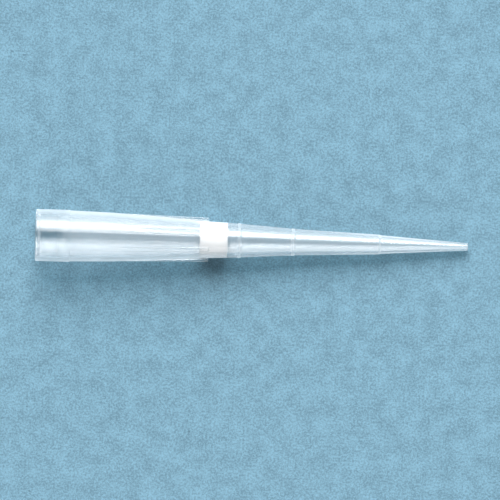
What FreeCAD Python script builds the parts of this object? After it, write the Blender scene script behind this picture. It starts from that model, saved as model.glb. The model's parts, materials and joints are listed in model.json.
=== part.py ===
import FreeCAD, Part
import os
import Sketcher

# A filter pipette tip for about 100 microlitres: a clear moulded tube, tapered from a collar that
# takes the pipette's nozzle down to a fine point, with a porous plug pressed into its bore.
# Lengths are in millimetres. Each piece is drawn on its own axis, from the rim at 0 along +X to
# the point, and its Placement lays it on the bench as it comes to rest: on the shell where the
# ribs start and on the square ends of two ribs, with the point just clear of the bench.

# Driving sizes: name, value, meaning. Stations follow from lengths that add up along the axis, and
# outer sizes from a bore and a wall, so that a changed size carries its neighbours with it.
SIZES = [
    ("collar_length", 4.35, "rim to the lower end of the collar"),
    ("seal_length", 5.6, "collar to the start of the ribs"),
    ("rib_length", 12.05, "start of the ribs to their square ends"),
    ("filter_lead", 1.1, "how far the filter reaches up between the ribs"),
    ("filter_length", 3.5, "length of the filter"),
    ("shoulder_length", 1.5, "filter to the upper ring"),
    ("chamber_length", 6.85, "upper ring to the lower ring"),
    ("middle_length", 11.15, "lower ring to the step"),
    ("fine_length", 11.1, "step to the point"),
    ("guide_diameter", 5.64, "bore that guides the nozzle into the collar"),
    ("guide_length", 2.85, "depth of the guide bore"),
    ("mouth_length", 0.32, "depth of the wider mouth above the guide bore"),
    ("mouth_draft", 0.03, "how much the mouth narrows over that depth, on the radius"),
    ("bevel_length", 0.3, "length of the bevel from the mouth to the guide bore"),
    ("bevel_height", 0.10, "how far the bevel opens the bore, on the radius"),
    ("land_step", 0.05, "how far the bore steps in at each end of the sealing land"),
    ("land_closing", 0.03, "how much the sealing land closes over its length, on the radius"),
    ("lip_radius", 0.15, "rounding of the rim, inside and outside"),
    ("collar_wall", 0.49, "wall of the collar at the guide bore"),
    ("collar_step", 0.06, "how far the collar stands proud of the shell"),
    ("shell_wall", 0.5, "wall at the start of the ribs"),
    ("seat_upper_diameter", 3.815, "bore at the upper end of the filter"),
    ("seat_lower_diameter", 3.63, "bore at the lower end of the filter"),
    ("waist_wall", 0.453, "wall at the square ends of the ribs"),
    ("seat_wall", 0.43, "wall at the lower end of the filter"),
    ("rib_height", 0.44, "height of a rib at its square end"),
    ("rib_thickness", 0.48, "thickness of a rib"),
    ("rib_count", 6, "number of ribs"),
    ("rib_root", 0.2, "how deep a rib is rooted in the wall"),
    ("rib_run_in", 0.44, "how far a rib runs on inside the shell above its start"),
    ("rib_rise", 0.03, "depth under the shell at the end of that run"),
    ("upper_ring_bore", 3.49, "bore at the upper ring: 100 microlitres below it"),
    ("upper_ring_wall", 0.414, "wall at the upper ring"),
    ("lower_ring_bore", 2.585, "bore at the lower ring: 50 microlitres below it"),
    ("lower_ring_wall", 0.398, "wall at the lower ring"),
    ("ring_width", 0.62, "width of a ring at its root"),
    ("ring_height", 0.055, "height of a ring over the wall"),
    ("ring_root", 0.04, "how deep a ring is rooted in the wall"),
    ("step_bore", 1.656, "bore at the step: 10 microlitres below it"),
    ("step_wall", 0.355, "wall just below the step"),
    ("step_height", 0.075, "how far the wall steps in"),
    ("step_length", 0.28, "length of the sloping face of the step"),
    ("orifice_diameter", 0.44, "opening at the point"),
    ("orifice_land", 0.8, "straight length of the opening"),
    ("point_wall", 0.24, "wall at the point"),
    ("point_rounding", 0.15, "rounding of the point's outer edge"),
    ("filter_clearance", 0.01, "gap between the filter and its seat, all round"),
    ("filter_rounding", 0.08, "rounding of the filter's edges"),
]

# What follows from them: name, formula, meaning.
WORKED = [
    ("rib_start", "=Sizes.collar_length + Sizes.seal_length", "station where the ribs start"),
    ("rib_end", "=rib_start + Sizes.rib_length", "station of the ribs' square ends"),
    ("filter_upper", "=rib_end - Sizes.filter_lead", "station of the filter's upper end"),
    ("filter_lower", "=filter_upper + Sizes.filter_length", "station of its lower end"),
    ("upper_ring", "=filter_lower + Sizes.shoulder_length", "station of the upper ring"),
    ("lower_ring", "=upper_ring + Sizes.chamber_length", "station of the lower ring"),
    ("step_end", "=lower_ring + Sizes.middle_length", "station of the step's lower end"),
    ("tip_length", "=step_end + Sizes.fine_length", "station of the point"),
    ("guide_radius", "=Sizes.guide_diameter / 2", "guide bore"),
    ("mouth_radius", "=guide_radius + Sizes.bevel_height + Sizes.mouth_draft", "bore at the rim"),
    ("land_radius", "=guide_radius - Sizes.land_step", "sealing land at its upper end"),
    ("land_lower_radius", "=land_radius - Sizes.land_closing", "sealing land at its lower end"),
    ("taper_radius", "=land_lower_radius - Sizes.land_step", "bore under the sealing land"),
    ("collar_radius", "=guide_radius + Sizes.collar_wall", "outside of the collar"),
    ("shell_radius", "=collar_radius - Sizes.collar_step", "outside of the shell"),
    ("seat_slope", "=(Sizes.seat_upper_diameter - Sizes.seat_lower_diameter) / 2 / Sizes.filter_length",
     "closing of the seat along the axis"),
    ("waist_bore", "=Sizes.seat_upper_diameter / 2 - Sizes.filter_lead * seat_slope",
     "bore at the rib ends"),
    ("waist_radius", "=waist_bore + Sizes.waist_wall", "outside at the rib ends"),
    ("crest_radius", "=waist_radius + Sizes.rib_height", "ribs' crests at their square ends"),
    ("crest_slope", "=(shell_radius - crest_radius) / (rib_end - Sizes.collar_length)",
     "fall of the shell and crests along the axis"),
    ("shoulder_radius", "=shell_radius - crest_slope * Sizes.seal_length",
     "outside of the shell where the ribs start"),
    ("shoulder_bore", "=shoulder_radius - Sizes.shell_wall", "bore where the ribs start"),
    ("seat_radius", "=Sizes.seat_lower_diameter / 2 + Sizes.seat_wall",
     "outside at the filter's lower end"),
    ("upper_ring_radius", "=Sizes.upper_ring_bore / 2 + Sizes.upper_ring_wall",
     "outside at the upper ring"),
    ("lower_ring_radius", "=Sizes.lower_ring_bore / 2 + Sizes.lower_ring_wall",
     "outside at the lower ring"),
    ("step_radius", "=Sizes.step_bore / 2 + Sizes.step_wall", "outside just below the step"),
    ("point_radius", "=Sizes.orifice_diameter / 2 + Sizes.point_wall", "outside at the point"),
    ("crest_reach", "=crest_radius * cos(180 / Sizes.rib_count)"
     " + Sizes.rib_thickness / 2 * sin(180 / Sizes.rib_count)",
     "axis to the plane under two neighbouring crests"),
    ("rib_turn", "=270 + 180 / Sizes.rib_count", "turn of the first rib: two straddle the bench"),
    ("rest_slope", "=max((collar_radius - crest_reach) / (rib_end - Sizes.collar_length);"
     " (shoulder_radius - crest_reach) / Sizes.rib_length)",
     "tangent of the axis's tilt at rest: the collar or the shell bears, whichever stands lower"),
    ("rest_tilt", "=atan(rest_slope)", "tilt of the axis at rest"),
    ("rest_lift", "=crest_reach * cos(rest_tilt) + rib_end * sin(rest_tilt)",
     "height of the axis at the rim"),
    ("rim_reach", "=Sizes.lip_radius * (1 - cos(rest_tilt))"
     " + (collar_radius - Sizes.lip_radius) * sin(rest_tilt)", "how far the rim leans back"),
    ("point_reach", "=(tip_length - Sizes.point_rounding) * cos(rest_tilt)"
     " + (point_radius - Sizes.point_rounding) * sin(rest_tilt) + Sizes.point_rounding",
     "how far the point reaches forward"),
    ("rest_shift", "=(rim_reach - point_reach) / 2", "sets the whole length about X = 0"),
]


def make_sheet(doc, name, rows):
    """A sheet of aliased cells: the meaning in column A, the value or formula in column B."""
    sheet = doc.addObject("Spreadsheet::Sheet", name)
    for number, (alias, value, meaning) in enumerate(rows, 1):
        sheet.set(f"A{number}", meaning)
        sheet.set(f"B{number}", str(value))
        sheet.setAlias(f"B{number}", alias)
    doc.recompute()
    return sheet


def make_body(doc, name):
    """A body whose Placement lays its axis in the position of rest."""
    body = doc.addObject("PartDesign::Body", name)
    body.Label = name
    body.Placement = FreeCAD.Placement(FreeCAD.Vector(), FreeCAD.Rotation(FreeCAD.Vector(0, 1, 0), 1))
    body.setExpression("Placement.Base.x", "Worked.rest_shift")
    body.setExpression("Placement.Base.z", "Worked.rest_lift")
    body.setExpression("Placement.Rotation.Angle", "Worked.rest_tilt")
    return body


def origin_part(body, role):
    """One of the body's own origin planes or axes."""
    return next(part for part in body.Origin.OriginFeatures if part.Role == role)


def make_sketch(body, name, corners, arcs=None):
    """A closed outline on the body's XY plane, X being the station and Y the radius.

    The corners are pairs of formulas, counter-clockwise. The side that leaves corner N is straight,
    or an arc where arcs[N] gives one coordinate of its centre as ("x" or "y", formula).
    """
    arcs = arcs or {}
    sketch = body.newObject("Sketcher::SketchObject", name)
    sketch.AttachmentSupport = [(origin_part(body, "XY_Plane"), "")]
    sketch.MapMode = "FlatFace"
    places = [
        FreeCAD.Vector(float(sketch.evalExpression(x)), float(sketch.evalExpression(y)), 0)
        for x, y in corners
    ]
    sides = len(corners)
    for number, start in enumerate(places):
        end = places[(number + 1) % sides]
        if number in arcs:
            which, formula = arcs[number]
            sketch.addGeometry(arc_side(start, end, which, float(sketch.evalExpression(formula))))
        else:
            sketch.addGeometry(Part.LineSegment(start, end))
    for number in range(sides):
        sketch.addConstraint(Sketcher.Constraint("Coincident", number, 2, (number + 1) % sides, 1))
    for number, corner in enumerate(corners):
        for kind, formula in zip(("DistanceX", "DistanceY"), corner):
            bind(sketch, kind, number, 1, formula)
    for number, (which, formula) in arcs.items():
        bind(sketch, "Distance" + which.upper(), number, 3, formula)
    return sketch


def arc_side(start, end, which, place):
    """A counter-clockwise arc from start to end, one coordinate of its centre being known."""
    chord = end - start
    middle = (start + end) * 0.5
    normal = FreeCAD.Vector(-chord.y, chord.x, 0)
    along = (place - getattr(middle, which)) / getattr(normal, which)
    centre = middle + normal * along
    radius = (start - centre).Length
    crown = centre - normal.normalize() * radius
    return Part.Arc(start, crown, end)


def bind(sketch, kind, side, point, formula):
    """Hold one coordinate of a side's point at the formula's value."""
    value = float(sketch.evalExpression(formula))
    index = sketch.addConstraint(Sketcher.Constraint(kind, -1, 1, side, point, value))
    sketch.setExpression(f"Constraints[{index}]", formula)


def revolve(body, name, sketch):
    """The sketch turned once round the body's axis, added to what is there."""
    turned = body.newObject("PartDesign::Revolution", name)
    turned.Profile = sketch
    turned.ReferenceAxis = (sketch, ["H_Axis"])
    turned.Angle = 360
    sketch.Visibility = False
    return turned


def add_wall(body):
    """The whole wall: out along the bore from the rim to the point, and back along the outside."""
    bore = [
        ("0", "Worked.mouth_radius + Sizes.lip_radius"),
        ("Sizes.lip_radius", "Worked.mouth_radius"),
        ("Sizes.mouth_length", "Worked.mouth_radius - Sizes.mouth_draft"),
        ("Sizes.mouth_length + Sizes.bevel_length", "Worked.guide_radius"),
        ("Sizes.guide_length", "Worked.guide_radius"),
        ("Sizes.guide_length + Sizes.land_step", "Worked.land_radius"),
        ("Sizes.collar_length", "Worked.land_lower_radius"),
        ("Sizes.collar_length + Sizes.land_step", "Worked.taper_radius"),
        ("Worked.rib_start", "Worked.shoulder_bore"),
        ("Worked.filter_upper", "Sizes.seat_upper_diameter / 2"),
        ("Worked.filter_lower", "Sizes.seat_lower_diameter / 2"),
        ("Worked.upper_ring", "Sizes.upper_ring_bore / 2"),
        ("Worked.lower_ring", "Sizes.lower_ring_bore / 2"),
        ("Worked.step_end", "Sizes.step_bore / 2"),
        ("Worked.tip_length - Sizes.orifice_land", "Sizes.orifice_diameter / 2"),
        ("Worked.tip_length", "Sizes.orifice_diameter / 2"),
    ]
    outside = [
        ("Worked.tip_length", "Worked.point_radius - Sizes.point_rounding"),
        ("Worked.tip_length - Sizes.point_rounding", "Worked.point_radius"),
        ("Worked.step_end", "Worked.step_radius"),
        ("Worked.step_end - Sizes.step_length", "Worked.step_radius + Sizes.step_height"),
        ("Worked.lower_ring", "Worked.lower_ring_radius"),
        ("Worked.upper_ring", "Worked.upper_ring_radius"),
        ("Worked.filter_lower", "Worked.seat_radius"),
        ("Worked.rib_end", "Worked.waist_radius"),
        ("Worked.rib_start", "Worked.shoulder_radius"),
        ("Sizes.collar_length + Sizes.collar_step", "Worked.shell_radius"),
        ("Sizes.collar_length", "Worked.collar_radius"),
        ("Sizes.lip_radius", "Worked.collar_radius"),
        ("0", "Worked.collar_radius - Sizes.lip_radius"),
    ]
    corners = bore + outside
    arcs = {
        0: ("x", "Sizes.lip_radius"),
        len(bore): ("x", "Worked.tip_length - Sizes.point_rounding"),
        len(corners) - 2: ("x", "Sizes.lip_radius"),
    }
    return revolve(body, "Wall", make_sketch(body, "WallSection", corners, arcs))


def add_ring(body, name, station, radius):
    """A raised volume ring: a low arc over a root in the wall, turned round the axis."""
    half = "Sizes.ring_width / 2"
    root = f"{radius} - Sizes.ring_root"
    rise = "(Sizes.ring_height + Sizes.ring_root)"
    sagitta_radius = f"(({half}) ^ 2 + {rise} ^ 2) / (2 * {rise})"
    corners = [
        (f"{station} + {half}", root),
        (f"{station} - {half}", root),
    ]
    centre = ("y", f"{radius} + Sizes.ring_height - {sagitta_radius}")
    return revolve(body, name, make_sketch(body, name + "Section", corners, {0: centre}))


def add_ribs(body):
    """The ribs: one side view padded to its thickness, then repeated round the axis."""
    corners = [
        ("Worked.rib_start - Sizes.rib_run_in", "Worked.shoulder_radius - Sizes.rib_root"),
        ("Worked.rib_end", "Worked.waist_radius - Sizes.rib_root"),
        ("Worked.rib_end", "Worked.crest_radius"),
        ("Worked.rib_start - Sizes.rib_run_in", "Worked.shoulder_radius - Sizes.rib_rise"),
    ]
    sketch = make_sketch(body, "RibSide", corners)
    along_axis = FreeCAD.Rotation(FreeCAD.Vector(1, 0, 0), 1)
    sketch.AttachmentOffset = FreeCAD.Placement(FreeCAD.Vector(), along_axis)
    sketch.setExpression("AttachmentOffset.Rotation.Angle", "Worked.rib_turn")
    rib = body.newObject("PartDesign::Pad", "Rib")
    rib.Profile = sketch
    rib.Midplane = True
    rib.setExpression("Length", "Sizes.rib_thickness")
    sketch.Visibility = False
    ribs = body.newObject("PartDesign::PolarPattern", "Ribs")
    ribs.Originals = [rib]
    ribs.Axis = (origin_part(body, "X_Axis"), [""])
    ribs.Angle = 360
    ribs.setExpression("Occurrences", "Sizes.rib_count")
    body.Tip = ribs
    return ribs


def make_tip_body(doc):
    """The clear moulding: wall, two volume rings and the ribs, all one piece."""
    body = make_body(doc, "tip_body")
    add_wall(body)
    add_ring(body, "UpperRing", "Worked.upper_ring", "Worked.upper_ring_radius")
    add_ring(body, "LowerRing", "Worked.lower_ring", "Worked.lower_ring_radius")
    add_ribs(body)
    return body


def make_filter(doc):
    """The porous plug: the seat's own taper less the clearance, with rounded edges."""
    body = make_body(doc, "filter")
    upper = "Sizes.seat_upper_diameter / 2 - Sizes.filter_clearance"
    lower = "Sizes.seat_lower_diameter / 2 - Sizes.filter_clearance"
    edge = "Sizes.filter_rounding"
    corners = [
        ("Worked.filter_upper", "0"),
        ("Worked.filter_lower", "0"),
        ("Worked.filter_lower", f"{lower} - {edge}"),
        (f"Worked.filter_lower - {edge}", lower),
        (f"Worked.filter_upper + {edge}", f"{upper} - {edge} * Worked.seat_slope"),
        ("Worked.filter_upper", f"{upper} - {edge}"),
    ]
    arcs = {
        2: ("x", f"Worked.filter_lower - {edge}"),
        4: ("x", f"Worked.filter_upper + {edge}"),
    }
    revolve(body, "Plug", make_sketch(body, "PlugSection", corners, arcs))
    return body


def check(doc, pieces):
    """Stop if any object failed to compute, or a piece is empty or not one valid solid."""
    for item in doc.Objects:
        failed = [state for state in item.State if state in ("Invalid", "Error")]
        if failed:
            raise RuntimeError(f"{item.Name} is {', '.join(failed)}")
    for piece in pieces:
        shape = piece.Shape
        if shape.isNull() or not shape.isValid() or len(shape.Solids) != 1:
            raise RuntimeError(f"{piece.Label} is not one valid solid")


def main():
    doc = FreeCAD.newDocument("pipette_tip")
    make_sheet(doc, "Sizes", SIZES)
    make_sheet(doc, "Worked", WORKED)
    pieces = [make_tip_body(doc), make_filter(doc)]
    doc.recompute()
    check(doc, pieces)
    os.makedirs("parts", exist_ok=True)
    for piece in pieces:
        piece.Shape.exportStep(f"parts/{piece.Label}.step")
        print(f"{piece.Label}: {piece.Shape.Volume:.2f} cubic millimetres")


main()
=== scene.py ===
"""Filter pipette tip lying on a pale bench: a clear moulded body with a porous white filter inside.

Laid out as a Blender add-on and run as a script. Lengths are in metres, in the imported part's own
frame. The tip's axis runs from the middle of its rim to its point, and a distance along it from
the rim is called a station.
"""

import json
import math

import bpy
import numpy as np
from mathutils import Matrix


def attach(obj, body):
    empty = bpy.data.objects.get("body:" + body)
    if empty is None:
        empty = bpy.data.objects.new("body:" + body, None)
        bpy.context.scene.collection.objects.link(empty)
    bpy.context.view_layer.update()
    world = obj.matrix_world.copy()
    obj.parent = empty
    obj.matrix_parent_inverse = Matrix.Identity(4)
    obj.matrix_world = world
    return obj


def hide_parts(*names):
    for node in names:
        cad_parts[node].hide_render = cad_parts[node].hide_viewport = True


bl_info = {
    "name": "Filter Pipette Tip",
    "version": (1, 0, 0),
    "blender": (4, 5, 0),
    "location": "3D View > Sidebar > Filter Tip",
    "description": "Makes a clear filter pipette tip, its filter plug and a plain bench round them",
    "category": "Add Mesh",
}

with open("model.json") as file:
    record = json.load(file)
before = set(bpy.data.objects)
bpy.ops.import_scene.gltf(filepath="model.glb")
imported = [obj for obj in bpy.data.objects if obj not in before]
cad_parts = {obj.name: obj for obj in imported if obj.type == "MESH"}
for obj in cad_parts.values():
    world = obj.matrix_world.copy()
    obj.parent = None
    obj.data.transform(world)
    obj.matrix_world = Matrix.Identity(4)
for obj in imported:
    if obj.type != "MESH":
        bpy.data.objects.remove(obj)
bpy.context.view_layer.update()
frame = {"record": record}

MM = 0.001
RIB_COUNT = 6
BODY = "root"

# The record's socket for the pipette's nozzle is the guide bore. Its place is the guide's middle,
# and its axis runs along the tip's own axis and out of the mouth, so the two give the rim's middle
# and the tilt. The values here are in millimetres and degrees, as the settings take them.
SOCKET = next(mount for mount in frame["record"]["mounts"] if mount["name"] == "nozzle_socket")
GUIDE_START = 0.62
GUIDE_LENGTH = SOCKET["dims"]["length_mm"]
RIM = np.array(SOCKET["pos_m"]) / MM + np.array(SOCKET["axis"]) * (GUIDE_START + GUIDE_LENGTH / 2)
TILT = math.degrees(math.asin(SOCKET["axis"][2]))


# ---------------------------------------------------------------- settings


def length(name, description, millimetres, least=0.0):
    """A length that a user may change, with its default given in millimetres."""
    return bpy.props.FloatProperty(
        name=name,
        description=description,
        default=millimetres * MM,
        min=least,
        unit="LENGTH",
        precision=5,
    )


def angle(name, description, degrees):
    """An angle, with its default given in degrees."""
    return bpy.props.FloatProperty(
        name=name, description=description, default=math.radians(degrees), subtype="ANGLE"
    )


def share(name, description, default, most=1.0):
    """A plain number from 0 up to most."""
    return bpy.props.FloatProperty(
        name=name, description=description, default=default, min=0.0, max=most
    )


def colour(name, description, default):
    """A linear colour."""
    return bpy.props.FloatVectorProperty(
        name=name,
        description=description,
        default=default,
        size=3,
        min=0.0,
        max=1.0,
        subtype="COLOR",
    )


class TipSizes(bpy.types.PropertyGroup):
    """The clear body's outside and the way it lies."""

    total: length("Length", "From the rim to the point", 55.0)
    edge: length("Edge rounding", "Rounding of the rim and of the point", 0.19)
    rim_face: length("Rim face", "From the collar's outside in to where the bore takes over", 0.245)
    collar_end: length("Collar end", "Station where the collar ends", 4.35)
    collar_radius: length("Collar radius", "Outside radius of the collar", 3.304)
    collar_step: length("Collar step", "How far the shell steps in below the collar", 0.06)
    shoulder: length("Shoulder", "Station where the taper steepens", 9.95)
    shoulder_radius: length("Shoulder radius", "Outside radius at the shoulder", 3.098)
    rib_start: length("Rib start", "Station where the ribs rise out of the shell", 10.97)
    rib_end: length("Rib end", "Station of the ribs' square ends", 22.0)
    neck_radius: length("Neck radius", "Outside radius under the rib ends", 2.3314)
    crest_start: length("Crest start", "Station that the ribs' crest line is measured from", 9.51)
    crest_low: length("Crest radius at start", "Radius of the crest line there", 3.068)
    crest_high: length("Crest radius at end", "Radius of the crest line at the square ends", 2.7714)
    rib_thickness: length("Rib thickness", "Across a rib", 0.48)
    rib_edge: length("Rib edge", "Rounding along a rib's crest and end", 0.09)
    rib_fillet: length("Rib fillet", "Where a rib's side runs out into the shell", 0.16)
    waist: length("Waist end", "Station where the waist round the filter ends", 24.4)
    waist_radius: length("Waist radius", "Outside radius there", 2.245)
    ring_high: length("Upper ring", "Station of the larger volume ring", 25.9)
    ring_high_radius: length("Upper ring radius", "Shell radius under it", 2.1585)
    ring_low: length("Lower ring", "Station of the smaller volume ring", 32.75)
    ring_low_radius: length("Lower ring radius", "Shell radius under it", 1.69)
    ring_width: length("Ring width", "Along the axis", 0.62)
    ring_height: length("Ring height", "Above the shell", 0.055)
    step_start: length("Step start", "Station where the small step begins", 43.62)
    step_start_radius: length("Radius above the step", "Outside radius there", 1.258)
    step_end: length("Step end", "Station where the small step ends", 43.9)
    step_end_radius: length("Radius below the step", "Outside radius there", 1.183)
    point_radius: length("Point radius", "Outside radius of the point", 0.46)
    orifice: length("Orifice radius", "Radius of the hole in the point", 0.22)
    point_face: length("Point face", "From the hole out to where the outside takes over", 0.04)
    tilt: angle("Tilt", "How far the axis dips as the tip lies on its shell and ribs", TILT)
    rim_x: length("Rim place", "Where the rim's centre is along X", RIM[0], least=-1.0)
    rim_z: length("Rim height", "How high the rim's centre is", RIM[2])


class BoreSizes(bpy.types.PropertyGroup):
    """The bore's sizes. It shares the stations of the body's outside and of the filter."""

    mouth_radius: length("Mouth radius", "Bore at the rim", 2.95)
    mouth_end: length("Mouth end", "Station where the bevel under the mouth starts", 0.32)
    mouth_end_radius: length("Mouth end radius", "Bore there", 2.92)
    guide_start: length("Guide start", "Station where the nozzle's guide starts", GUIDE_START)
    guide_end: length("Guide end", "Station where the guide ends", GUIDE_START + GUIDE_LENGTH)
    guide_radius: length("Guide radius", "Bore in the guide", SOCKET["dims"]["r_mm"])
    land_step: length("Land step", "Along and across the step at each end of the land", 0.05)
    land_end_radius: length("Land end radius", "Bore at the lower end of the sealing land", 2.74)
    shoulder_radius: length("Shoulder bore", "Bore at the shoulder", 2.598)
    clearance: length("Filter clearance", "Gap between the filter and its seat", 0.01)
    ring_high_radius: length("Upper ring bore", "Bore under the upper ring", 1.745)
    ring_low_radius: length("Lower ring bore", "Bore under the lower ring", 1.2925)
    step_radius: length("Step bore", "Bore at the lower end of the small step", 0.828)
    point_land: length("Point land", "Straight length of the hole in the point", 0.8)


class FilterSizes(bpy.types.PropertyGroup):
    """The porous plug's sizes."""

    top: length("Top", "Station of its upper face", 20.9)
    bottom: length("Bottom", "Station of its lower face", 24.4)
    top_radius: length("Top radius", "Radius at its upper face", 1.8975)
    bottom_radius: length("Bottom radius", "Radius at its lower face", 1.805)
    edge: length("Edge", "Rounding of its two edges", 0.03)
    grain: length("Grain", "Size of a sintered grain", 0.13)
    pits: length("Pits", "Depth of the pits between grains", 0.018)


class Finish(bpy.types.PropertyGroup):
    """Colours, gloss and haze. Slant is 0 where a wall is seen square on and 1 edge on."""

    clear: colour("Clear plastic", "Tint of the clear moulding", (0.975, 0.985, 0.99))
    bore_roughness: share("Bore roughness", "How dull the bore is down to the lower ring", 0.24)
    cone_roughness: share("Cone roughness", "How much duller the bore is below that ring", 0.06)
    haze: colour("Haze", "Colour of the milky haze in the clear plastic", (0.83, 0.91, 0.96))
    haze_share: share("Haze share", "How much light the haze scatters, seen square on", 0.12)
    haze_edge: share("Haze at the sides", "How much more it scatters, seen edge on", 0.5)
    haze_from: share("Haze from", "Slant at which the sides' haze starts", 0.15)
    haze_full: share("Haze full", "Slant at which the sides' haze is full", 0.7)
    collar_haze: share("Collar haze", "How much of the haze the collar has", 0.1)
    clear_sides: share("Clear sides", "How much of its sides' haze the cone loses", 0.65)
    clear_cone: share("Clear cone", "How much of all its haze the cone loses", 0.15)
    ring_haze: share("Ring haze", "How much more haze the rings and the step have", 0.16)
    bevel_haze: share("Bevel haze", "How much more haze the bevel in the mouth has", 0.3)
    haze_through: share("Haze through", "How much of its light the haze passes on inwards", 0.35)
    shade: colour("Shade", "What lamps' light keeps through the clear body", (0.10, 0.20, 0.22))
    shade_collar: share("Collar shade", "How much the collar shades, seen square on", 0.45)
    shade_shell: share("Shell shade", "How much more the shell below it shades", 0.27)
    shade_full: share("Shade full", "Slant at which the shade is full", 0.6)
    plug: colour("Filter", "Colour of the porous plug", (1.0, 0.99, 0.985))
    pressed: share("Pressed filter", "How much of its white the bore round it shows", 0.95)
    soak: length("Soak", "How far light soaks into the filter", 3.0)
    bench: colour("Bench", "Colour of the bench", (0.184, 0.342, 0.445))


class Stage(bpy.types.PropertyGroup):
    """Light and camera."""

    key_watts: share("Key softbox", "Its power in watts", 158.0, 1000.0)
    back_watts: share("Low back softbox", "Its power in watts", 30.0, 1000.0)
    front_watts: share("Low front softbox", "Its power in watts", 51.0, 1000.0)
    room: share("Room light", "Strength of the even light all round", 0.01, 10.0)
    bench_half: length("Bench half", "From the middle of the bench to its edge", 3000.0)
    bench_drop: length("Bench drop", "How far the bench stands below the tip", 0.02)
    camera_away: length("Camera distance", "From the camera to what it looks at", 1411.99)
    camera_lean: angle("Camera lean", "How far it leans along the tip from straight down", -2.2)
    camera_roll: angle("Camera roll", "How far it is turned about its own line", 1.5958)
    target_height: length("Target height", "Height of the tip's middle over the bench", 2.3)
    target_left: length("Target left", "How far left of that middle it looks", 0.158)
    target_down: length("Target down", "How far below that middle it looks", 1.1535)
    lens: share("Lens", "Its focal length in millimetres", 800.0, 5000.0)


# ---------------------------------------------------------------- profiles and grids


def rounded(corners, steps=5):
    """A run of straight lines with each inner corner turned into a small curve.

    corners holds (station, radius, reach) rows. At a corner C the curve starts at A and ends at
    B, which lie on the two lines at the reach from C, and it is
    (1-s)(1-s) A + 2 s (1-s) C + s s B for s from 0 to 1. Two curves share the line between them.
    """
    corners = np.asarray(corners, float)
    points, reach = corners[:, :2], corners[1:-1, 2, None]
    before, here, after = points[:-2], points[1:-1], points[2:]
    back, onward = before - here, after - here
    back_length = np.linalg.norm(back, axis=1, keepdims=True)
    onward_length = np.linalg.norm(onward, axis=1, keepdims=True)
    most = np.full((2, len(here), 1), 0.49)  # just under half of a line that two curves share
    most[0, 0] = most[1, -1] = 0.98  # nearly all of the first line and of the last
    start = here + back / back_length * np.minimum(reach, most[0] * back_length)
    end = here + onward / onward_length * np.minimum(reach, most[1] * onward_length)
    s = np.linspace(0, 1, steps)[None, :, None]
    curves = (1 - s) ** 2 * start[:, None] + 2 * s * (1 - s) * here[:, None] + s**2 * end[:, None]
    return np.vstack([points[:1], curves.reshape(-1, 2), points[-1:]])


def divided(rows, longest):
    """The same line with every run cut into equal pieces no longer than longest."""
    runs = np.diff(rows, axis=0)
    pieces = np.maximum(1, np.ceil(np.linalg.norm(runs, axis=1) / longest)).astype(int)
    which = np.repeat(np.arange(len(runs)), pieces)
    first = np.concatenate([[0], np.cumsum(pieces)[:-1]])
    part = (np.arange(pieces.sum()) - first[which]) / pieces[which]
    return np.vstack([rows[which] + runs[which] * part[:, None], rows[-1:]])


def with_stations(rows, stations):
    """The same line with extra points at these stations, on its own straight runs."""
    extra = np.column_stack([stations, np.interp(stations, rows[:, 0], rows[:, 1])])
    both = np.vstack([rows, extra])
    return both[np.argsort(both[:, 0], kind="stable")]


def ring_mesh(name, points, capped=False):
    """A mesh from a grid of points, rows by columns by 3, closed across the columns.

    Uncapped, the rows close on themselves as well, so the surface is one endless loop both ways.
    Capped, a point at the middle of the first row and one of the last close its ends.
    """
    rows, columns = points.shape[:2]
    across = np.arange(columns)
    onward = (across + 1) % columns
    along = np.arange(rows - 1 if capped else rows)[:, None]
    here, down = along * columns, (along + 1) % rows * columns
    quads = np.stack([here + across, here + onward, down + onward, down + across], -1)
    vertices = points.reshape(-1, 3)
    corners, starts = quads.ravel(), np.arange(0, quads.size, 4)
    if capped:
        top, bottom = np.full(columns, rows * columns), np.full(columns, rows * columns + 1)
        last = (rows - 1) * columns
        fans = np.vstack(
            [
                np.column_stack([top, onward, across]),
                np.column_stack([bottom, last + across, last + onward]),
            ]
        )
        vertices = np.vstack([vertices, points[0].mean(0), points[-1].mean(0)])
        starts = np.concatenate([starts, quads.size + np.arange(0, fans.size, 3)])
        corners = np.concatenate([corners, fans.ravel()])
    mesh = bpy.data.meshes.new(name)
    mesh.vertices.add(len(vertices))
    mesh.vertices.foreach_set("co", vertices.astype(np.float32).ravel())
    mesh.loops.add(len(corners))
    mesh.loops.foreach_set("vertex_index", corners.astype(np.int32))
    mesh.polygons.add(len(starts))
    mesh.polygons.foreach_set("loop_start", starts.astype(np.int32))
    mesh.update(calc_edges=True)
    mesh.validate()
    mesh.polygons.foreach_set("use_smooth", np.ones(len(mesh.polygons), bool))
    mesh.set_sharp_from_angle(angle=math.radians(40))
    return mesh


def lie_down(stations, sideways, upward, tip):
    """Carries points from the tip's own axis to where it lies.

    x is station cos(tilt) + upward sin(tilt) + rim place, y is sideways, and
    z is upward cos(tilt) - station sin(tilt) + rim height.
    """
    c, s = math.cos(tip.tilt), math.sin(tip.tilt)
    x = stations * c + upward * s + tip.rim_x
    z = upward * c - stations * s + tip.rim_z
    return np.stack(np.broadcast_arrays(x, sideways, z), -1)


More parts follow.
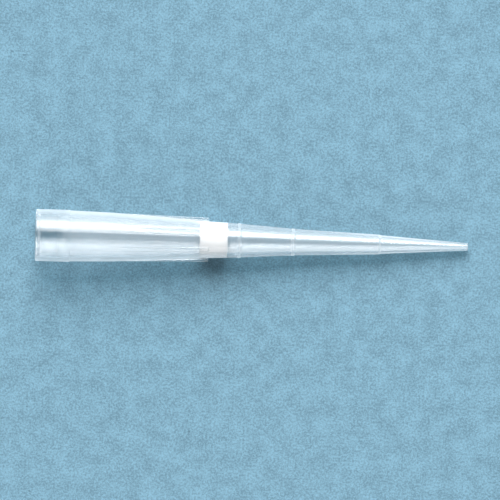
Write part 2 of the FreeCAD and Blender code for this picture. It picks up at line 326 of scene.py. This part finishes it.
def outside_line(tip):
    """The body's outside from the middle of the rim to the middle of the point's end face.

    Under a ring's crest the line is raised by height (1 - uu), where u is -1 at the ring's one
    end and 1 at its other.
    """
    shell_radius = tip.collar_radius - tip.collar_step
    corners = [
        (0, tip.collar_radius - tip.rim_face, 0),
        (0, tip.collar_radius, tip.edge),
        (tip.collar_end, tip.collar_radius, 0.03 * MM),
        (tip.collar_end + tip.collar_step, shell_radius, 0.03 * MM),
        (tip.shoulder, tip.shoulder_radius, 0.5 * MM),
        (tip.rib_end + 0.25 * MM, tip.neck_radius - 0.01 * MM, 0.12 * MM),
        (tip.waist, tip.waist_radius, 0.15 * MM),
        (tip.ring_high, tip.ring_high_radius, 0.05 * MM),
        (tip.ring_low, tip.ring_low_radius, 0.05 * MM),
        (tip.step_start, tip.step_start_radius, 0.08 * MM),
        (tip.step_end, tip.step_end_radius, 0.08 * MM),
        (tip.total, tip.point_radius, tip.edge),
        (tip.total, tip.orifice + tip.point_face, 0),
    ]
    rows = divided(rounded(corners), 0.6 * MM)
    half_ring = tip.ring_width / 2
    across_ring = np.linspace(-half_ring, half_ring, 13)
    rings = (tip.ring_high, tip.ring_low)
    rows = with_stations(rows, np.concatenate([ring + across_ring for ring in rings]))
    for ring in rings:
        u = (rows[:, 0] - ring) / half_ring
        rows[:, 1] += tip.ring_height * np.clip(1 - u**2, 0, 1)
    return rows


def inside_line(tip, bore, plug):
    """The bore from the middle of the point's end face back to the middle of the rim."""
    corners = [
        (0, tip.collar_radius - tip.rim_face, 0),
        (0, bore.mouth_radius, 0.10 * MM),
        (bore.mouth_end, bore.mouth_end_radius, 0.04 * MM),
        (bore.guide_start, bore.guide_radius, 0.04 * MM),
        (bore.guide_end, bore.guide_radius, 0.03 * MM),
        (bore.guide_end + bore.land_step, bore.guide_radius - bore.land_step, 0.03 * MM),
        (tip.collar_end, bore.land_end_radius, 0.02 * MM),
        (tip.collar_end + bore.land_step, bore.land_end_radius - bore.land_step, 0.02 * MM),
        (tip.shoulder, bore.shoulder_radius, 0.4 * MM),
        (plug.top, plug.top_radius + bore.clearance, 0.1 * MM),
        (plug.bottom, plug.bottom_radius + bore.clearance, 0.1 * MM),
        (tip.ring_high, bore.ring_high_radius, 0.2 * MM),
        (tip.ring_low, bore.ring_low_radius, 0.5 * MM),
        (tip.step_end, bore.step_radius, 0.3 * MM),
        (tip.total - bore.point_land, tip.orifice, 0.2 * MM),
        (tip.total, tip.orifice, 0.02 * MM),
        (tip.total, tip.orifice + tip.point_face, 0),
    ]
    return divided(rounded(corners), 0.8 * MM)[::-1]


def mirrored(half, sign=1):
    """Columns from a rib's middle to the gap's middle, with their mirror image put before them."""
    return np.hstack([sign * half[:, :0:-1], half[:, :-1]])


def cross_sections(tip, shell, rib, thick):
    """Points round the axis for every row, as (sideways, upward) arrays.

    Half a rib is an arch: along its crest, round an edge of radius c, down its side and out
    through a fillet of radius f to the shell, a circle of radius R. H is the crest's height above
    the shell there, and T half the rib's thickness. A point at the distance q from the rib's
    middle plane stands at sqrt(RR - qq) + h, where h is the arch's height there. The rest of the
    way to the middle of the gap, 30 degrees on, is that circle. A row without a rib is the plain
    circle, its columns spread about as they are on a rib. Each half is mirrored, and the pair is
    turned to the six ribs.
    """
    R, H, T = shell[:, None], rib[:, None], thick[:, None]
    c = np.minimum(tip.rib_edge, 0.45 * H)
    f = np.minimum(tip.rib_fillet, 0.5 * H)
    bend = 1 - math.sqrt(0.5)
    zero = np.zeros_like(R)
    q_arch = np.hstack([zero, (T - c) / 2, T - c, T - bend * c, T, T, T + bend * f, T + f])
    h_arch = np.hstack([H, H, H, H - bend * c, H - c, f, bend * f, zero])
    q_plain = R * np.array([0, 0.095, 0.19, 0.225, 0.25, 0.27, 0.285, 0.30]) / 2.7
    q = np.where(H > 0, q_arch, q_plain)
    h = np.where(H > 0, h_arch, 0)
    out = np.sqrt(np.maximum(R**2 - q**2, 0)) + h
    foot = np.arcsin(q[:, -1:] / R)
    half_sector = math.pi / RIB_COUNT
    fan = foot + (half_sector - foot) * (np.arange(1, 7) / 6)
    q = mirrored(np.hstack([q, R * np.sin(fan)]), sign=-1)
    out = mirrored(np.hstack([out, R * np.cos(fan)]))
    turn = (np.arange(RIB_COUNT) * 2 * half_sector)[None, :, None]
    sideways = out[:, None] * np.cos(turn) - q[:, None] * np.sin(turn)
    upward = out[:, None] * np.sin(turn) + q[:, None] * np.cos(turn)
    return sideways.reshape(len(R), -1), upward.reshape(len(R), -1)


def square_end(tip):
    """The arches that make a rib's square end, as (stations, heights, half thicknesses).

    They go round its edge of radius c, then lie one inside the other down its flat face. At the
    angle a of the edge the station is rib_end - c + c sin(a), and the height and the half
    thickness are c (1 - cos(a)) short of the rib's own.
    """
    c = tip.rib_edge
    edge_angle = np.radians([0, 30, 60, 90])
    down_face = np.array([0.75, 0.5, 0.25, 0])
    across_face = np.array([0.88, 0.76, 0.64, 1])
    height, half = tip.crest_high - tip.neck_radius, tip.rib_thickness / 2
    short = c * (1 - np.cos(edge_angle))
    flat = np.full(len(down_face), tip.rib_end)
    return (
        np.concatenate([tip.rib_end - c + c * np.sin(edge_angle), flat]),
        np.concatenate([height - short, (height - c) * down_face]),
        np.concatenate([half - short, (half - c) * across_face]),
    )


def clear_body_points(tip, bore, plug):
    """The grid of the whole clear body: outside from rim to point, then the bore back again.

    Returns it with the number of its rows that are outside.
    """
    rows = with_stations(outside_line(tip), [tip.rib_start])
    station, radius = rows.T
    crest = np.interp(station, [tip.crest_start, tip.rib_end], [tip.crest_low, tip.crest_high])
    rib = np.where((station > tip.rib_start) & (station < tip.rib_end), crest - radius, 0)
    before = station < tip.rib_end - 0.12 * MM
    after = station > tip.rib_end + 0.18 * MM
    end_station, end_height, end_thick = square_end(tip)
    under_end = np.linspace(tip.rib_end - tip.rib_edge, tip.rib_end + 0.15 * MM, len(end_station))
    inside = inside_line(tip, bore, plug)[1:-1]

    def all_rows(line, at_end, in_bore):
        """One value for every row: down the outside, at the square ends, then up the bore."""
        return np.concatenate([line[before], at_end, line[after], in_bore])

    on_rib = all_rows(station, end_station, inside[:, 0])
    on_shell = all_rows(station, under_end, inside[:, 0])
    shell = all_rows(radius, np.interp(under_end, station, radius), inside[:, 1])
    height = all_rows(rib, end_height, np.zeros(len(inside)))
    half = tip.rib_thickness / 2
    thick = all_rows(np.full(len(rows), half), end_thick, np.full(len(inside), half))
    sideways, upward = cross_sections(tip, shell, height, thick)
    # Columns on a rib follow its end, the rest keep evenly spaced rows.
    low = mirrored(np.concatenate([np.zeros(6), [0.5, 1], np.ones(6)])[None])
    low = np.tile(low, RIB_COUNT)
    stations = on_rib[:, None] * (1 - low) + on_shell[:, None] * low
    return lie_down(stations, sideways, upward, tip), len(stations) - len(inside)


def lattice_noise(points, cell, seed):
    """Smooth noise from 0 to 1: random values on a cubic lattice, blended between its corners.

    Each coordinate's share f of the way to the next corner is bent to f f (3 - 2 f) first.
    """
    scaled = (points - points.reshape(-1, 3).min(0)) / cell
    base = np.floor(scaled).astype(int)
    f = scaled - base
    f = f * f * (3 - 2 * f)
    values = np.random.default_rng(seed).random(base.reshape(-1, 3).max(0) + 2)
    total = np.zeros(points.shape[:-1])
    for corner in np.ndindex(2, 2, 2):
        weight = np.prod(np.where(corner, f, 1 - f), axis=-1)
        total += weight * values[tuple(np.moveaxis(base + corner, -1, 0))]
    return total


def filter_points(tip, plug):
    """The plug's grid: a rounded drum, pitted inwards by noise at the size of a grain.

    A pit goes pits (1.4 n - 0.2) deep, kept between 0 and pits, where n is the noise. It points
    to the drum's middle, but half as much along the axis.
    """
    hub = 0.05 * MM
    corners = [
        (plug.top, hub, 0),
        (plug.top, plug.top_radius, plug.edge),
        (plug.bottom, plug.bottom_radius, plug.edge),
        (plug.bottom, hub, 0),
    ]
    rows = divided(rounded(corners, steps=6), 0.045 * MM)
    turn = np.linspace(0, 2 * math.pi, 240, endpoint=False)
    sideways = rows[:, 1:] * np.cos(turn)
    upward = rows[:, 1:] * np.sin(turn)
    drum = np.stack([np.broadcast_to(rows[:, :1], sideways.shape), sideways, upward], -1)
    coarse = lattice_noise(drum, plug.grain, seed=4)
    fine = lattice_noise(drum, plug.grain / 2, seed=9)
    pitted = np.clip(1.4 * (0.65 * coarse + 0.35 * fine) - 0.2, 0, 1)
    inward = np.array([(plug.top + plug.bottom) / 2, 0, 0]) - drum
    inward[..., 0] *= 0.5
    inward /= np.linalg.norm(inward, axis=-1, keepdims=True)
    drum = drum + inward * plug.pits * pitted[..., None]
    return lie_down(drum[..., 0], drum[..., 1], drum[..., 2], tip)


# ---------------------------------------------------------------- materials


class Value:
    """One output of a node, so that sums on it can be written as plain Python."""

    def __init__(self, bench, socket):
        self.bench, self.socket = bench, socket

    def maths(self, operation, *parts):
        return self.bench.node("ShaderNodeMath", {"operation": operation}, dict(enumerate(parts)))

    def __add__(self, other):
        return self.maths("ADD", self, other)

    def __sub__(self, other):
        return self.maths("SUBTRACT", self, other)

    def __rsub__(self, other):
        return self.maths("SUBTRACT", other, self)

    def __mul__(self, other):
        return self.maths("MULTIPLY", self, other)

    def __abs__(self):
        return self.maths("ABSOLUTE", self)

    __radd__ = __add__
    __rmul__ = __mul__


class Workbench:
    """A material and its nodes."""

    def __init__(self, name):
        self.material = bpy.data.materials.new(name)
        self.material.use_nodes = True
        self.tree = self.material.node_tree
        self.tree.nodes.clear()

    def node(self, kind, settings=(), sockets=(), output=0):
        """Adds a node. settings are set first, and sockets take values or links."""
        made = self.tree.nodes.new(kind)
        for key, value in dict(settings).items():
            setattr(made, key, value)
        for key, value in dict(sockets).items():
            if isinstance(value, Value):
                self.tree.links.new(value.socket, made.inputs[key])
            else:
                made.inputs[key].default_value = value
        return Value(self, made.outputs[output]) if len(made.outputs) else None

    def axis_coordinates(self, tip):
        """Millimetres from the middle of the rim, with X along the tip's own axis.

        The mapping is the turn and shift of lie_down undone, then a change to millimetres.
        """
        c, s = math.cos(tip.tilt), math.sin(tip.tilt)
        rim = (tip.rim_x * c - tip.rim_z * s, 0, tip.rim_x * s + tip.rim_z * c)
        return self.node(
            "ShaderNodeMapping",
            sockets={
                "Vector": self.node("ShaderNodeTexCoord", output="Object"),
                "Location": [-part / MM for part in rim],
                "Rotation": (0, -tip.tilt, 0),
                "Scale": (1 / MM, 1 / MM, 1 / MM),
            },
        )

    def vector(self, operation, *parts):
        """Blender's vector maths on whole vectors."""
        return self.node("ShaderNodeVectorMath", {"operation": operation}, dict(enumerate(parts)))

    def down_the_wall(self, where, along, around):
        """A place for patterns that hardly change down the wall, so their lines run to the point.

        It is station times along, plus the unit vector out from the axis times around.
        """
        outward = self.vector("NORMALIZE", self.vector("MULTIPLY", where, (0, 1, 1)))
        drift = self.vector("MULTIPLY", where, (along, 0, 0))
        return self.vector("MULTIPLY_ADD", outward, (around, around, around), drift)

    def noise(self, where, scale, detail, roughness, stretch=(1, 1, 1)):
        """Blender's noise, about 0.5 in the middle."""
        where = self.node("ShaderNodeMapping", sockets={"Vector": where, "Scale": stretch})
        return self.node(
            "ShaderNodeTexNoise",
            sockets={"Vector": where, "Scale": scale, "Detail": detail, "Roughness": roughness},
        )

    def between(self, value, low, high):
        """0 below low, 1 above high and a smooth rise between them."""
        return self.node(
            "ShaderNodeMapRange",
            {"interpolation_type": "SMOOTHSTEP"},
            {"Value": value, "From Min": low, "From Max": high},
        )

    def below(self, station, start, rise):
        """0 above the start station, 1 from a rise further down. Both are in metres."""
        return self.between(station, start / MM, (start + rise) / MM)

    def near(self, station, place, half, fall):
        """1 within half of a station, 0 from a fall further away. All are in metres."""
        away = abs(station - place / MM)
        return 1 - self.between(away, half / MM, (half + fall) / MM)

    def mix(self, factor, first, second):
        """A colour between two."""
        return self.node(
            "ShaderNodeMix", {"data_type": "RGBA"}, {0: factor, 6: first, 7: second}, output=2
        )

    def blend(self, factor, first, second):
        """A shader between two."""
        return self.node("ShaderNodeMixShader", sockets={0: factor, 1: first, 2: second})

    def plain(self, kind, colour_values):
        """A shader with nothing but a colour, such as a diffuse or a transparent one."""
        return self.node(kind, sockets={"Color": opaque(colour_values)})

    def finish(self, shader):
        """Puts the shader on the material's output."""
        self.node("ShaderNodeOutputMaterial", sockets={"Surface": shader})
        return self.material


def opaque(colour_values):
    return (*colour_values, 1.0)


def glossy_wall(b, where, station, finish, tip, outside):
    """The clear plastic itself: flow lines down the wall, fine scuffs outside, a duller bore.

    The flow lines calm down below the ribs, where the wall is drawn out thin.
    """
    place = b.down_the_wall(where, along=0.002, around=16.0)
    flow = b.noise(place, scale=1.0, detail=3.0, roughness=0.55)
    height = flow * (1 - 0.75 * b.below(station, tip.rib_end - 0.5 * MM, 2 * MM))
    if outside:
        scuffs = b.noise(where, scale=9.0, detail=4.0, roughness=0.6, stretch=(0.35, 1, 1))
        roughness = 0.05 + 0.03 * b.between(scuffs, 0.45, 0.75)
    else:
        in_cone = b.below(station, tip.ring_low - 0.75 * MM, 1.5 * MM)
        roughness = finish.bore_roughness + finish.cone_roughness * in_cone
    bump = {"Strength": 0.5, "Distance": 0.06 * MM, "Height": height}
    return b.node(
        "ShaderNodeBsdfPrincipled",
        sockets={
            "Base Color": opaque(finish.clear),
            "Roughness": roughness,
            "IOR": 1.49,
            "Transmission Weight": 1.0,
            "Normal": b.node("ShaderNodeBump", sockets=bump),
        },
    )


def haze_amount(b, where, station, slant, finish, tip, bore, outside):
    """How much of the light the milky haze scatters.

    It grows towards the sides, where more plastic stands behind more, and is cloudy all over.
    The collar and the thin cone have less. The rings, the step and the mouth's bevel have more.
    """
    below_collar = b.below(station, tip.collar_end - 1.75 * MM, 2.2 * MM)
    above_point = 1 - 0.8 * b.below(station, tip.ring_low + 3.25 * MM, 9 * MM)
    cone = b.below(station, tip.rib_end - 0.5 * MM, 3 * MM) * above_point
    square_on = finish.collar_haze + (1 - finish.collar_haze) * below_collar
    edge_on = (1 - finish.clear_sides * cone) * b.between(slant, finish.haze_from, finish.haze_full)
    haze = finish.haze_share * square_on + finish.haze_edge * edge_on
    cloud = 0.8 + 0.4 * b.noise(where, scale=0.8, detail=2.0, roughness=0.5)
    haze = haze * cloud * (1 - finish.clear_cone * cone)
    if outside:
        step_middle = (tip.step_start + tip.step_end) / 2
        for ring in (tip.ring_high, tip.ring_low, step_middle):
            haze = haze + finish.ring_haze * b.near(station, ring, 0.12 * MM, 0.14 * MM)
    else:
        bevel_middle = (bore.mouth_end + bore.guide_start) / 2
        haze = haze + finish.bevel_haze * b.near(station, bevel_middle, 0.12 * MM, 0.1 * MM)
    return haze


def pressed_filter(b, station, slant, finish, plug):
    """How much of the filter's white shows in the bore, which it is pressed against."""
    from_top = b.below(station, plug.top - 0.02 * MM, 0.06 * MM)
    past_bottom = b.below(station, plug.bottom - 0.06 * MM, 0.06 * MM)
    seen = 0.5 + 0.5 * b.between(slant, 0.12, 0.25)
    return finish.pressed * from_top * (1 - past_bottom) * seen


def shade_amount(b, station, slant, finish, tip):
    """How much of the shade colour a lamp's light takes on where it leaves the body again.

    The middle of the tube shades least, and its sides from shade_full on shade fully.
    """
    below_collar = b.below(station, tip.collar_end - 0.35 * MM, 14 * MM)
    middle = finish.shade_collar + finish.shade_shell * below_collar
    return middle + (1 - middle) * b.between(slant, 0.0, finish.shade_full)


def clear_plastic(name, scene, outside):
    """Clear polypropylene: glossy, faintly milky, with flow lines along the axis and fine scuffs.

    Lamps shine through it. Its outside dims them where their light leaves the body again, because
    a real tube bends most of it aside and so has a soft shadow.
    """
    finish, tip = scene.tip_finish, scene.tip_sizes
    b = Workbench(name)
    where = b.axis_coordinates(tip)
    station = b.node("ShaderNodeSeparateXYZ", sockets={0: where})
    slant = b.node("ShaderNodeLayerWeight", sockets={"Blend": 0.5}, output="Facing")
    clear = glossy_wall(b, where, station, finish, tip, outside)
    haze = haze_amount(b, where, station, slant, finish, tip, scene.bore_sizes, outside)
    front = b.plain("ShaderNodeBsdfDiffuse", finish.haze)
    through = b.plain("ShaderNodeBsdfTranslucent", finish.haze)
    wall = b.blend(haze, clear, b.blend(finish.haze_through, front, through))
    freely = b.plain("ShaderNodeBsdfTransparent", (0.97, 0.975, 0.98))
    passing = freely
    lamp = b.node("ShaderNodeLightPath", output="Is Shadow Ray")
    if outside:
        dimmed = b.plain("ShaderNodeBsdfTransparent", finish.shade)
        # A shadow ray runs from the lit place to the lamp, so it meets an outer face where the
        # lamp's light leaves the body.
        leaving = 1 - b.node("ShaderNodeNewGeometry", output="Backfacing")
        strength = shade_amount(b, station, slant, finish, tip)
        passing = b.blend(lamp * leaving * strength, freely, dimmed)
    else:
        pressed = pressed_filter(b, station, slant, finish, scene.filter_sizes)
        wall = b.blend(pressed, wall, b.plain("ShaderNodeBsdfDiffuse", finish.plug))
    bounce = b.node("ShaderNodeLightPath", output="Is Diffuse Ray")
    return b.finish(b.blend(bounce, b.blend(lamp, wall, passing), freely))


def porous_plastic(finish, tip):
    """Sintered polyethylene: dull white, made of fused grains with pits between them. The pits'
    colour is darkened as painted shade, and a fine noise varies the tone at random.
    """
    b = Workbench("porous_polyethylene")
    where = b.axis_coordinates(tip)
    grains = b.node(
        "ShaderNodeTexVoronoi",
        {"feature": "F1"},
        {"Vector": where, "Scale": 7.5, "Randomness": 1.0},
        output="Distance",
    )
    fine = b.noise(where, scale=22.0, detail=3.0, roughness=0.6)
    pits = b.between(grains, 0.25, 0.85)
    # Painted shade: the pits between grains, sunk by the bump, are also given a darker colour. The
    # fine noise only varies the tone at random.
    pit_shade_colour = [part * side for part, side in zip(finish.plug, (0.86, 0.85, 0.84))]
    bump = {"Strength": 0.5, "Distance": 0.04 * MM, "Height": 1 - pits * 0.8 + fine * 0.3}
    return b.finish(
        b.node(
            "ShaderNodeBsdfPrincipled",
            sockets={
                "Base Color": b.mix(pits * 0.6 + fine * 0.15, opaque(finish.plug), opaque(pit_shade_colour)),
                "Roughness": 0.85 + 0.1 * fine,
                "Subsurface Weight": 1.0,
                "Subsurface Radius": (1.0, 1.0, 1.0),
                "Subsurface Scale": finish.soak,
                "Normal": b.node("ShaderNodeBump", sockets=bump),
            },
        )
    )


def bench_top(finish):
    """Pale blue paper: fine fibres, soft clouds and a few darker flecks."""
    b = Workbench("bench_paper")
    place = b.node("ShaderNodeTexCoord", output="Object")
    scale = (1 / MM, 1 / MM, 1 / MM)
    where = b.node("ShaderNodeMapping", sockets={"Vector": place, "Scale": scale})
    fibres = b.noise(where, scale=4.0, detail=3.0, roughness=0.8)
    clouds = b.noise(where, scale=0.45, detail=4.0, roughness=0.6)
    specks = b.noise(where, scale=1.3, detail=1.0, roughness=0.4, stretch=(1, 1.5, 1))
    flecks = b.between(specks, 0.74, 0.80)
    paper = b.between(fibres * 0.75 + clouds * 0.25, 0.36, 0.64)
    tones = [opaque([part * side for part in finish.bench]) for side in (0.7, 1.3, 0.45)]
    dark, light, grey = tones
    return b.finish(
        b.node(
            "ShaderNodeBsdfPrincipled",
            sockets={
                "Base Color": b.mix(flecks * 0.6, b.mix(paper, dark, light), grey),
                "Roughness": 0.8,
                "Specular IOR Level": 0.2,
            },
        )
    )


# ---------------------------------------------------------------- operators


def put_in(name, mesh, material):
    """A new object at the origin with its place in its mesh."""
    made = bpy.data.objects.new(name, mesh)
    bpy.context.scene.collection.objects.link(made)
    mesh.materials.append(material)
    return made


class FILTERTIP_OT_clear_body(bpy.types.Operator):
    """Makes the clear body with its collar, ribs, rings, step and bore"""

    bl_idname = "filtertip.clear_body"
    bl_label = "Clear Body"

    def execute(self, context):
        scene = context.scene
        points, outside_rows = clear_body_points(
            scene.tip_sizes, scene.bore_sizes, scene.filter_sizes
        )
        mesh = ring_mesh("clear_body", points)
        in_bore = np.repeat(np.arange(len(points)) >= outside_rows, points.shape[1])
        piece = put_in("clear_body", mesh, clear_plastic("clear_outside", scene, outside=True))
        mesh.materials.append(clear_plastic("clear_bore", scene, outside=False))
        mesh.polygons.foreach_set("material_index", in_bore.astype(np.int32))
        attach(piece, BODY)
        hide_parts("tip_body")
        return {"FINISHED"}


class FILTERTIP_OT_filter_plug(bpy.types.Operator):
    """Makes the porous filter plug in the bore"""

    bl_idname = "filtertip.filter_plug"
    bl_label = "Filter Plug"

    def execute(self, context):
        scene = context.scene
        points = filter_points(scene.tip_sizes, scene.filter_sizes)
        mesh = ring_mesh("filter_plug", points, capped=True)
        piece = put_in("filter_plug", mesh, porous_plastic(scene.tip_finish, scene.tip_sizes))
        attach(piece, BODY)
        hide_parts("filter")
        return {"FINISHED"}


def softbox(name, watts, turn, spread, away=3.0, reach=2.5):
    """A long softbox parallel to the tip.

    It stands at an angle of turn degrees from straight up towards +Y and fills spread degrees of
    the view from the tip. away is its distance and reach its length, in metres.
    """
    lamp = bpy.data.lights.new(name, "AREA")
    lamp.shape, lamp.size = "RECTANGLE", reach
    lamp.size_y = 2 * away * math.tan(math.radians(spread / 2))
    lamp.energy = watts
    made = bpy.data.objects.new(name, lamp)
    along = np.array([1.0, 0, 0])
    back = np.array([0, math.sin(math.radians(turn)), math.cos(math.radians(turn))])
    columns = [along, np.cross(back, along), back, away * back]
    made.matrix_world = Matrix(np.column_stack(columns)).to_4x4()
    made.visible_camera = False
    bpy.context.scene.collection.objects.link(made)


def camera_matrix(stage):
    """Where the camera stands: above the tip, leaning along it and turned about its own line."""
    lean, roll = stage.camera_lean, stage.camera_roll
    look = np.array([math.sin(lean), 0, -math.cos(lean)])
    level, across = np.array([math.cos(lean), 0, math.sin(lean)]), np.array([0, 1, 0])
    right = math.cos(roll) * level + math.sin(roll) * across
    up = math.cos(roll) * across - math.sin(roll) * level
    target = np.array([0, 0, stage.target_height])
    target = target - stage.target_left * right - stage.target_down * up
    place = target - look * stage.camera_away
    return Matrix(np.column_stack([right, up, -look, place])).to_4x4()


class FILTERTIP_OT_stage(bpy.types.Operator):
    """Makes the bench, three softboxes, the room light and the camera"""

    bl_idname = "filtertip.stage"
    bl_label = "Stage"

    def execute(self, context):
        scene = context.scene
        stage = scene.tip_stage
        half = stage.bench_half
        sides = ((-half, -half), (half, -half), (half, half), (-half, half))
        mesh = bpy.data.meshes.new("bench")
        mesh.from_pydata([(x, y, -stage.bench_drop) for x, y in sides], [], [(0, 1, 2, 3)])
        put_in("bench", mesh, bench_top(scene.tip_finish))

        softbox("key_softbox", stage.key_watts, 46, 36)
        softbox("low_back_softbox", stage.back_watts, 76, 24)
        softbox("low_front_softbox", stage.front_watts, -66, 44)

        world = bpy.data.worlds.new("room")
        scene.world = world
        world.use_nodes = True
        background = world.node_tree.nodes["Background"]
        background.inputs["Color"].default_value = (0.93, 0.97, 1.0, 1)
        background.inputs["Strength"].default_value = stage.room

        camera = bpy.data.objects.new("camera", bpy.data.cameras.new("camera"))
        scene.collection.objects.link(camera)
        scene.camera = camera
        camera.data.lens, camera.data.sensor_width = stage.lens, 36
        camera.data.clip_start, camera.data.clip_end = 0.01, 20
        camera.matrix_world = camera_matrix(stage)
        scene.view_settings.view_transform = "Standard"
        return {"FINISHED"}


class FILTERTIP_PT_sidebar(bpy.types.Panel):
    """Lists the pieces and their settings"""

    bl_idname = "FILTERTIP_PT_sidebar"
    bl_label = "Filter Tip"
    bl_space_type = "VIEW_3D"
    bl_region_type = "UI"
    bl_category = "Filter Tip"

    def draw(self, context):
        layout = self.layout
        for operator in OPERATORS:
            layout.operator(operator.bl_idname)
        for group in SETTINGS:
            box = layout.box()
            settings = getattr(context.scene, group)
            for name in settings.__annotations__:
                box.prop(settings, name)


SETTINGS = {
    "tip_sizes": TipSizes,
    "bore_sizes": BoreSizes,
    "filter_sizes": FilterSizes,
    "tip_finish": Finish,
    "tip_stage": Stage,
}
OPERATORS = (FILTERTIP_OT_clear_body, FILTERTIP_OT_filter_plug, FILTERTIP_OT_stage)
CLASSES = (*SETTINGS.values(), *OPERATORS, FILTERTIP_PT_sidebar)


def register():
    for cls in CLASSES:
        bpy.utils.register_class(cls)
    for name, group in SETTINGS.items():
        setattr(bpy.types.Scene, name, bpy.props.PointerProperty(type=group))


def unregister():
    for name in SETTINGS:
        delattr(bpy.types.Scene, name)
    for cls in reversed(CLASSES):
        bpy.utils.unregister_class(cls)


def main():
    register()
    bpy.ops.filtertip.clear_body()
    bpy.ops.filtertip.filter_plug()
    bpy.ops.filtertip.stage()


if __name__ == "__main__":
    main()
